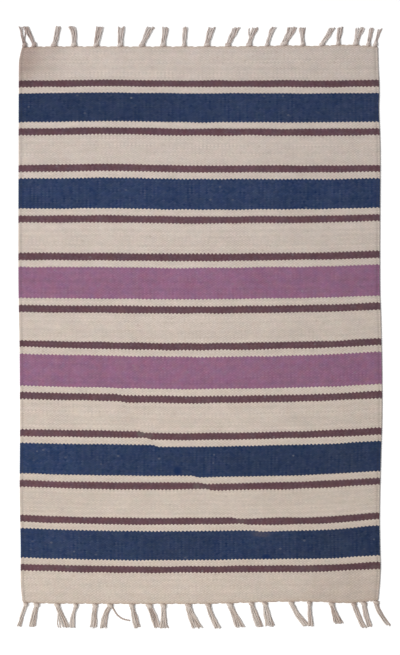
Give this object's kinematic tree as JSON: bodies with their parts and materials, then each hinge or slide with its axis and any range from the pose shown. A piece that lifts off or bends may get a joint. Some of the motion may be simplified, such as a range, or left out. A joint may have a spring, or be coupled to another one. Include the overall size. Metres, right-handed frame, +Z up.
{
  "type": "kilim rug",
  "caption": "Small flat-woven cotton rug with cross stripes, lying flat, with a short knotted fringe along both ends.",
  "frame": {"origin": "middle of the woven panel's flat underside, where the rug rests on the floor", "axes": "+Y along the warps, towards the end of the rug that is at the top of the picture, +X across it to the right, +Z up out of the floor"},
  "size_m": [0.6209, 1.0054, 0.0046],
  "materials": {
    "cotton_weave": "matt weft-faced cotton weave, cream ground with plum brown, navy blue and mauve stripes",
    "cotton_fringe": "matt undyed plied cotton yarn"
  },
  "bodies": {
    "root": {"woven_panel": "cotton_weave", "fringe_far": "cotton_fringe", "fringe_near": "cotton_fringe"}
  },
  "joints": []
}
